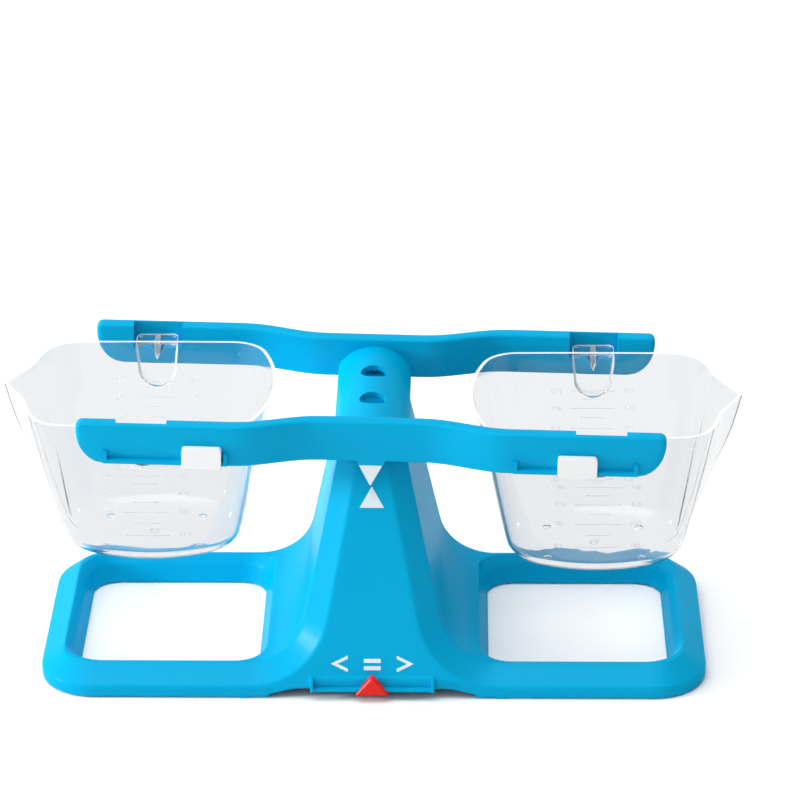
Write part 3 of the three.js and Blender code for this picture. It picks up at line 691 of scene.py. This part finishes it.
def bucket_outline(depth, inset):
    """The closed outline at a depth, drawn in by the inset."""
    share = min(max(depth / DEPTH, 0), 1)
    half_length = HALF_LENGTH - END_TAPER * depth - inset
    half_width = HALF_WIDTH - SIDE_TAPER * depth - inset
    corner = CORNER_ROUND + CORNER_GROWTH * depth - inset
    end_radius = END_BOW - inset
    side_radius = bow_of_side(share) - inset
    end_x, side_y = half_length - end_radius, half_width - side_radius
    end_arm, side_arm = end_radius - corner, side_radius - corner
    span = math.hypot(end_x, side_y)
    near = (side_arm ** 2 - end_arm ** 2 + span ** 2) / (2 * span)
    off = math.sqrt(side_arm ** 2 - near ** 2)
    toward_x, toward_y = end_x / span, -side_y / span
    corner_x = toward_x * near + toward_y * off
    corner_y = side_y + toward_y * near - toward_x * off
    end_turn = math.degrees(math.atan2(corner_y, corner_x - end_x))
    side_turn = math.degrees(math.atan2(corner_y - side_y, corner_x))
    half, crease_turn = lip_points(share, inset, half_length, end_x, end_radius)
    half += arc(end_x, 0, end_radius, crease_turn, end_turn, 6)
    half += arc(corner_x, corner_y, corner, end_turn, side_turn, 14)[1:]
    half += arc(0, side_y, side_radius, side_turn, 180 - side_turn, 16)[1:]
    half += arc(-corner_x, corner_y, corner, 180 - side_turn, 180 - end_turn, 14)[1:]
    half += arc(-end_x, 0, end_radius, 180 - end_turn, 180, 8)[1:]
    return half + [(x, -y) for x, y in half[1:-1]][::-1]


print("points in an outline:", len(bucket_outline(0, 0)))

# %% [markdown]
# The same function makes the outer solid and, drawn in by the wall, the room inside. Its
# rings start on the floor, follow the rounded edge of the floor and climb to the rim. A
# Solidify modifier could give the wall its thickness, but it thins at the ears, where walls
# meet. The room is taken a little above the rim, so that its top doesn't lie on the rim's.

# %% Bucket walls
FLOOR_ROUND = 10
ROUND_STEPS = 8
WALL_STEPS = 20


def bucket_solid(name, inset, lift):
    """The bucket's body, drawn in by the inset and taken up by the lift."""
    floor = DEPTH - (FLOOR if inset else 0)
    radius = FLOOR_ROUND - inset
    straight = floor - radius
    rings = []
    for i in range(ROUND_STEPS + 1):
        angle = math.pi / 2 * (1 - i / ROUND_STEPS)
        depth = straight + radius * math.sin(angle)
        pull = inset + radius * (1 - math.cos(angle))
        rings.append([(x, y, -depth) for x, y in bucket_outline(depth, pull)])
    for i in range(WALL_STEPS):
        depth = straight * (1 - (i + 1) / WALL_STEPS)
        rings.append([(x, y, -depth) for x, y in bucket_outline(depth, inset)])
    if lift:
        rings.append([(x, y, lift) for x, y in bucket_outline(0, inset)])
    return loft(name, rings)


bucket = bucket_solid("bucket_right_body", 0, 0)
room = bucket_solid("room", WALL, 1)
print("outer faces:", len(bucket.data.polygons), "room faces:", len(room.data.polygons))

# %% [markdown]
# In each long wall a U-shaped ear keeps the wall upright behind the flange, while the wall
# beside it leans in. It could be pulled out of the wall's own faces, but its outline crosses
# them freely. So it is a solid of its own, joined to the outer solid, with a slightly smaller
# one joined to the room, and the room is then cut out of both at once.

# %% Ears
EAR_HALF = 11.8
EAR_DEPTH = 25
EAR_ROUND = EAR_HALF - 0.12 * (EAR_DEPTH - EAR_HALF)
EAR_INNER = 26
EAR_ROOM_INNER = 14
EAR_SOFT_EDGE = 1.2
EAR_STEPS = 4


def boolean(obj, tool, operation):
    """Joins or cuts with the exact solver, then removes the tool."""
    add_modifier(obj, "BOOLEAN", object=tool, operation=operation, solver="EXACT")
    bpy.data.objects.remove(tool)


def ear_solid(name, inset, top, sign, inner, outer, rounding):
    """A U-shaped boss in the long wall, with a rounded outer edge where it shows."""
    radius = EAR_ROUND - inset
    centre = -EAR_DEPTH + inset + radius

    def ring(pull, y):
        wide = EAR_HALF - inset - pull
        points = [(-wide, top), (wide, top)] + arc(0, centre, radius - pull, 0, -180, 24)
        return [(x, sign * y, z) for x, z in points]

    rings = [ring(0, inner)]
    if rounding:
        for i in range(EAR_STEPS + 1):
            angle = math.pi / 2 * i / EAR_STEPS
            rings.append(ring(rounding * (1 - math.cos(angle)), outer - rounding * (1 - math.sin(angle))))
    else:
        rings.append(ring(0, outer))
    return loft(name, rings)


for sign in (-1, 1):
    boolean(bucket, ear_solid("ear", 0, 0, sign, EAR_INNER, HALF_WIDTH, EAR_SOFT_EDGE), "UNION")
    ear_room = ear_solid("ear_room", WALL, 1, sign, EAR_ROOM_INNER, HALF_WIDTH - WALL, 0)
    boolean(room, ear_room, "UNION")
boolean(bucket, room, "DIFFERENCE")
print("hollow bucket faces:", len(bucket.data.polygons))

# %% [markdown]
# A flat flange stands out over each ear. Two short cheeks stiffen it, and under its middle a
# rib comes to an edge that rests in the groove of the arm's pocket: the bucket swings on
# that edge, with no pin. The flange's rim is eased by a fraction of a millimetre on both
# faces. A bevel after the joining could do this, but it would also reach the walls.

# %% Flanges with cheeks and rib
FLANGE_REACH = 9.8
FLANGE_THICK = 1.8
FLANGE_HALF = 11
FLANGE_CORNER = 3
EASE = 0.3
CHEEK_X = 9
CHEEK_HALF = 0.9
CHEEK_LOW = -3
CHEEK_SHORTER = 1.5
RIB_HALF = 1.35
RIB_TIP = -RIM + EASE
RIB_POINT = 3.2
INSIDE_FLANGE = -0.9
flange_back = HALF_WIDTH - WALL
flange_far = HALF_WIDTH + FLANGE_REACH


def flange_ring(sign, pull, z):
    wide, edge, r = FLANGE_HALF - pull, flange_far - pull, FLANGE_CORNER - pull
    points = arc(wide - r, edge - r, r, 0, 90, 6) + arc(r - wide, edge - r, r, 90, 180, 6)
    points += [(-wide, flange_back), (wide, flange_back)]
    return [(x, sign * y, z) for x, y in points]


def bracket_solids(sign):
    """The flange, its two cheeks and its rib, on one long wall."""
    levels = ((EASE, -FLANGE_THICK), (0, -FLANGE_THICK + EASE), (0, -EASE), (EASE, 0))
    pieces = [loft("flange", [flange_ring(sign, pull, z) for pull, z in levels])]
    y0, y1 = sorted((sign * flange_back, sign * (flange_far - CHEEK_SHORTER)))
    for side in (-1, 1):
        x0, x1 = side * CHEEK_X - CHEEK_HALF, side * CHEEK_X + CHEEK_HALF
        pieces.append(block("cheek", (x0, y0, CHEEK_LOW), (x1, y1, INSIDE_FLANGE)))
    shoulder = RIB_TIP + RIB_POINT
    rib = [(-RIB_HALF, INSIDE_FLANGE), (-RIB_HALF, shoulder), (0, RIB_TIP),
           (RIB_HALF, shoulder), (RIB_HALF, INSIDE_FLANGE)]
    y_pair = sorted((sign * flange_back, sign * flange_far))
    pieces.append(loft("rib", [[(x, y, z) for x, z in rib] for y in y_pair]))
    return pieces


for sign in (-1, 1):
    for piece in bracket_solids(sign):
        boolean(bucket, piece, "UNION")
print("bucket with flanges, faces:", len(bucket.data.polygons))

# %% [markdown]
# The bucket stands on four round feet, and in the middle of its floor a low ring is left
# where the plastic flowed in. Both are turned shapes, so they could be spun about an axis.
# They are lofted from circles instead, because the helper closes their ends as well.

# %% Feet and ring under the floor
FOOT_X = 24.7
FOOT_Y = 17.5
FOOT_PROFILE = ((2.2, 0.8), (2.2, -0.6), (1.8, -1))
RING_LOW = -0.5
RING_HIGH = 0.4
RING_OUTSIDE = ((2.4, RING_HIGH), (2.4, RING_LOW + 0.2), (2.2, RING_LOW))
RING_INSIDE = ((1.5, RING_LOW), (1.3, RING_HIGH - 0.2))


def turned(name, x, y, profile):
    """A round solid from pairs of radius and height over the floor's underside."""
    circles = [(z - DEPTH, arc(0, 0, radius, 0, 345, 23)) for radius, z in profile]
    return loft(name, [[(x + u, y + v, z) for u, v in circle] for z, circle in circles])


for side_x in (-1, 1):
    for side_y in (-1, 1):
        boolean(bucket, turned("foot", side_x * FOOT_X, side_y * FOOT_Y, FOOT_PROFILE), "UNION")
boolean(bucket, turned("gate", 0, 0, RING_OUTSIDE + RING_INSIDE), "UNION")
smooth(bucket, 28, weighted=False)
print("whole bucket faces:", len(bucket.data.polygons))

# %% [markdown]
# ## Light edges, painted white
# Cut edges of clear plastic gather the light of the whole wall and look white: the flat top
# of the rim, the rounded outline of each ear, and less so the flange and its rib. A renderer
# can find this by following very many rays. Here the faces are marked with an attribute, which
# costs nothing, and the clear finish below mixes in a diffuse white by that share: a painted highlight.

# %% Light edges
EAR_LEAN = 0.107
EDGE_WIDTH = 1.3
# Shares of painted white highlight on the rim, the ears, the rib and the flange.
RIM_SHARE = 1.0
EAR_SHARE = 1.0
RIB_SHARE = 0.75
FLANGE_SHARE = 0.7
EAR_FACE = 51.4
EAR_LOWEST = -26
EAR_WIDEST = 12
WALL_FACE = 52.95


def ear_edge(point):
    """Whether a point lies on the rounded outline of an ear."""
    x, y, z = point
    low = z < EAR_ROUND - EAR_DEPTH
    away = math.hypot(x, z + EAR_DEPTH - EAR_ROUND) if low else abs(x)
    outline = EAR_ROUND if low else EAR_HALF + EAR_LEAN * z
    return abs(y) > EAR_FACE and z > EAR_LOWEST and outline - EDGE_WIDTH < away < EAR_WIDEST


def edge_share(points, normal):
    """How much of a face's light is the painted white highlight of a cut edge, from 0 to 1."""
    x, y, z = (sum(p[axis] for p in points) / len(points) for axis in range(3))
    if z > -0.05 and normal.z > 0.8 and abs(y) < 53:
        return RIM_SHARE
    if abs(y) < WALL_FACE:
        return EAR_SHARE if all(ear_edge(p) for p in points) else 0.0
    if abs(x) < 1.4 and z < -1.8:
        return RIB_SHARE
    return FLANGE_SHARE if abs(normal.z) < 0.9 and z > -1.8 else 0.0


# Each face's share of the painted white highlight goes into the edge_light attribute.
shares = bucket.data.attributes.new("edge_light", "FLOAT", "FACE")
for polygon in bucket.data.polygons:
    corners = [bucket.data.vertices[index].co / MM for index in polygon.vertices]
    shares.data[polygon.index].value = edge_share(corners, polygon.normal)
print("light faces:", sum(1 for share in shares.data if share.value > 0))

# %% [markdown]
# ## The moulded scale
# The long walls carry a scale: a line at every 50 ml, longer at the hundreds, with figures on
# both sides. It is moulded in, so it has a little height. It could be a bump in the finish,
# but the figures would then have no outline from the side. Lines and figures are drawn flat
# instead, and pressed onto the wall by working out the wall's place at each of their points.

# %% Scale lines on the wall
LEVELS = {100: 18.7, 200: 33.4, 300: 45.8, 400: 56.7, 500: 66.3}
LONG_HALF = 12
SHORT_HALF = 6.5
SHORT_RISE = 0.4
LINE_HALF = 0.2
MARK_SUNK = 0.15
MARK_PROUD = 0.14


def wall_at(x, height):
    """How far the outer wall is from the bucket's middle, at a height over the floor."""
    depth = DEPTH - height
    radius = bow_of_side(depth / DEPTH)
    return HALF_WIDTH - SIDE_TAPER * depth - (radius - math.sqrt(radius ** 2 - x ** 2))


def pressed(obj, sign):
    """Wraps a flat drawing, x across and y up, with its thickness in z, onto a long wall."""
    for vert in obj.data.vertices:
        x, height, proud = (value / MM for value in vert.co)
        across = x if sign < 0 else -x
        y = sign * (wall_at(across, height) + proud)
        vert.co = Vector((across, y, height - DEPTH)) * MM
    return obj


def scale_line(half, height):
    """A flat bar, cut into short lengths so that it can follow the bowed wall."""
    low = (-half, height - LINE_HALF, -MARK_SUNK)
    bar = block("line", low, (half, height + LINE_HALF, MARK_PROUD))
    edit_all(bar, lambda: bpy.ops.mesh.subdivide(number_cuts=3))
    return bar


print("wall from the middle at 500 ml, in mm:", round(wall_at(0, LEVELS[500]), 2))

# %% [markdown]
# The figures are text objects, made into meshes before they are pressed on. On each wall the
# right column reads from the outside and the left one from the inside, so the left figures
# are mirrored. A mirrored mesh is inside out, so once all marks are joined their doubles are
# merged and their normals are made to point outwards again.

# %% Figures, and the whole scale
FIGURE_SIZE = 3.9
FIGURE_X = 19.5


def figures(text, x, height):
    deselect_all()
    bpy.ops.object.text_add()
    words = bpy.context.object
    words.data.body = text
    words.data.size = FIGURE_SIZE * MM
    words.data.align_x = "CENTER"
    words.data.align_y = "CENTER"
    words.data.extrude = MARK_PROUD * MM
    words.data.resolution_u = 4
    bpy.ops.object.convert(target="MESH")
    words = bpy.context.object
    if x < 0:
        moved(words, Matrix.Scale(-1, 4, (1, 0, 0)))
    return moved(words, Matrix.Translation(Vector((x, height, 0)) * MM))


marks = []
for sign in (-1, 1):
    for level, height in LEVELS.items():
        marks.append(pressed(scale_line(LONG_HALF, height), sign))
        for x in (-FIGURE_X, FIGURE_X):
            marks.append(pressed(figures(str(level), x, height), sign))
    heights = list(LEVELS.values())
    for low, high in zip(heights, heights[1:]):
        marks.append(pressed(scale_line(SHORT_HALF, (low + high) / 2 + SHORT_RISE), sign))
print("marks on both walls:", len(marks))
marks = joined("bucket_right_scale", marks)
edit_all(marks, lambda: bpy.ops.mesh.remove_doubles(threshold=0.000001),
         lambda: bpy.ops.mesh.normals_make_consistent(inside=False))
smooth(marks, 20, weighted=False)

# %% [markdown]
# ## Clear plastic and frosted marks
# Light goes through both skins of a bucket's wall. The wall has its real thickness, so the
# shader only needs a transmission and an index of refraction, with a faint ripple as bump,
# because moulded plastic is never as flat as glass. The marks use the same finish with more
# roughness and a little milk in it. A clear thing throws only a pale shadow, and caustics
# that would show this are slow and noisy, so shadow rays pass through a pale tint instead.

# %% Finish: clear plastic and frosted marks
# The white painted on the cut edges as a highlight, and how strongly it is mixed in.
PAINTED_EDGE_WHITE = (0.93, 0.93, 0.92, 1)
PAINTED_EDGE_SHARE = 0.85
SHADOW_TINT = (0.81, 0.83, 0.84, 1)


def clear_plastic(name, tint, rough, milk, ripple):
    finish = Finish(name)
    finish.set(Base_Color=(*tint, 1), Transmission_Weight=1 - milk, IOR=1.34)
    cloud = finish.noise(scale=14.0, detail=2.0)
    finish.feed("Roughness", cloud * rough + rough * 0.5)
    finish.bump(finish.noise(scale=30.0, detail=1.0), strength=ripple, distance=0.0012)
    # The edge_light share mixes a diffuse white over the clear skin: a painted highlight on the cut
    # edges.
    edge = finish.node("ShaderNodeAttribute", {"attribute_name": "edge_light"}, output="Fac")
    white = finish.node("ShaderNodeBsdfDiffuse", {}, {"Color": PAINTED_EDGE_WHITE})
    skin = finish.mix_shaders(edge * PAINTED_EDGE_SHARE, finish.skin, white)
    through = finish.node("ShaderNodeBsdfTransparent", {}, {"Color": SHADOW_TINT})
    shadow = finish.node("ShaderNodeLightPath", output="Is Shadow Ray")
    finish.show(finish.mix_shaders(shadow, skin, through))
    return finish.material


CLEAR = clear_plastic("clear_moulded_plastic", (0.915, 0.925, 0.935), rough=0.03, milk=0.01, ripple=0.03)
FROST = clear_plastic("frosted_marks", (0.97, 0.975, 0.975), rough=0.6, milk=0.14, ripple=0.1)

# %% [markdown]
# ## Both buckets in their pockets
# The two buckets came out of one mould, so the left one is the right one turned half round,
# with a mesh of its own. Mirroring could do it as well, but the figures would read wrongly.
# A bucket is drawn with its rim at zero, so it is first lifted by the height of the rim over
# the rib's edge, and then moved to the hanging line of its leaning arm.

# %% Both buckets
def twin(obj, name):
    """A copy with its own mesh, turned half round and hung on the left."""
    made = obj.copy()
    made.data = obj.data.copy()
    made.name = made.data.name = name
    bpy.context.scene.collection.objects.link(made)
    return moved(made, Matrix.Translation(hang[-1]) @ Matrix.Rotation(math.pi, 4, "Z"))


for piece in (bucket, marks):
    moved(piece, Matrix.Translation(Vector((0, 0, RIM)) * MM))
left_bucket = twin(bucket, "bucket_left_body")
left_marks = twin(marks, "bucket_left_scale")
for piece in (bucket, marks):
    moved(piece, Matrix.Translation(hang[1]))
finish_piece(bucket, "bucket_right", "clear", CLEAR, "bucket_right")
finish_piece(left_bucket, "bucket_left", "clear", CLEAR, "bucket_left")
finish_piece(marks, "bucket_right", "clear", FROST)
finish_piece(left_marks, "bucket_left", "clear", FROST)

# %% [markdown]
# ## The floor
# The photograph has a plain white ground with a soft shadow where the base touches it. A
# white floor under enough light would show it, but that light would also bleach the object.
# So the floor has three looks. Light that bounces meets an ordinary pale floor. The camera,
# and rays that gloss sends on, see a brighter one that still takes shadows. Rays that come
# through a clear wall see an even near-white, because the wall itself dims them.

# %% Floor
FLOOR_SIZE = 8
GROUND = (0.9, 0.9, 0.9, 1)
GROUND_SEEN = (1.02, 1.02, 1.02, 1)
GROUND_THROUGH = 0.96


def light_path(graph, kind):
    return graph.node("ShaderNodeLightPath", output=kind)


def seen_ray(graph):
    """1 for rays of the camera, and for those that gloss or a clear wall sends on."""
    rays = light_path(graph, "Is Camera Ray") + light_path(graph, "Is Glossy Ray")
    rays = rays + light_path(graph, "Is Transmission Ray")
    unspread = graph.maths("LESS_THAN", light_path(graph, "Diffuse Depth"), 0.5)
    return graph.maths("MINIMUM", rays, 1.0) * unspread


deselect_all()
bpy.ops.mesh.primitive_plane_add(size=FLOOR_SIZE, location=(0, 0, 0))
floor = name_new("floor")
ground = Finish("white_floor")
ground.set(Base_Color=GROUND, Roughness=0.8, Specular_IOR_Level=0.0)
bright = ground.node("ShaderNodeBsdfDiffuse", {}, {"Color": GROUND_SEEN})
even = ground.node("ShaderNodeEmission", {}, {"Color": (1, 1, 1, 1), "Strength": GROUND_THROUGH})
mixed = ground.mix_shaders(seen_ray(ground), ground.skin, bright)
ground.show(ground.mix_shaders(light_path(ground, "Is Transmission Ray"), mixed, even))
floor.data.materials.append(ground.material)

# %% [markdown]
# ## The lamps
# In the photograph the left flanks are bright and the edges carry small sharp highlights. One
# wide lamp would light it evenly, but without those highlights. So a small low lamp stands at
# the left, a wide soft one hangs above, and two small weak ones behind draw thin rims of
# light. All four aim at the middle of the column.

# %% Lamps
AIM = (0, 0, 0.08)


def lamp(name, place, size, power):
    data = bpy.data.lights.new(name, "AREA")
    data.shape = "RECTANGLE"
    data.size, data.size_y = size, size
    data.energy = power
    obj = bpy.data.objects.new(name, data)
    obj.location = place
    obj.rotation_euler = (Vector(AIM) - Vector(place)).to_track_quat("-Z", "Y").to_euler()
    bpy.context.scene.collection.objects.link(obj)
    print(name, "lamp:", power, "W")


lamp("side", (-1.7, -0.4, 0.5), size=0.25, power=19)
lamp("top", (-0.3, -0.2, 1.9), size=1.3, power=13)
lamp("back_left", (-1.1, 1.5, 0.6), size=0.2, power=2)
lamp("back_right", (1.1, 1.5, 0.6), size=0.2, power=2)

# %% [markdown]
# ## The room around it
# The rest of the light comes from the room. A world of one strength would flatten the shapes,
# so its strength grows towards the top and towards the left, because the photograph is lit
# from there. What the camera sees of it, straight, through a clear wall or in a reflection,
# is plain white.

# %% World
SKY_FROM_TOP = 0.84
SKY_FROM_LEFT = 1.15
SKY_EVERYWHERE = 0.05

world = bpy.data.worlds.new("room")
bpy.context.scene.world = world
world.use_nodes = True
background = world.node_tree.nodes["Background"]
background.inputs["Color"].default_value = (1, 1, 1, 1)
sky = Graph(world.node_tree)


def toward(axis, sign):
    """How much a ray of the world points along an axis, never below 0."""
    way = sky.node("ShaderNodeTexCoord", output="Generated")
    part = sky.node("ShaderNodeSeparateXYZ", {}, {0: way}, axis) * sign
    return sky.maths("MAXIMUM", part, 0.0)


soft = toward("Z", 1) * SKY_FROM_TOP + toward("X", -1) * SKY_FROM_LEFT + SKY_EVERYWHERE
seen = seen_ray(sky)
strength = soft * (1 - seen) + seen
world.node_tree.links.new(strength.socket, background.inputs["Strength"])
print("nodes of the world:", len(world.node_tree.nodes))

# %% [markdown]
# ## The view transform
# Colours come out as they are written, through Blender's Standard view transform.

# %% View transform
bpy.context.scene.view_settings.view_transform = "Standard"
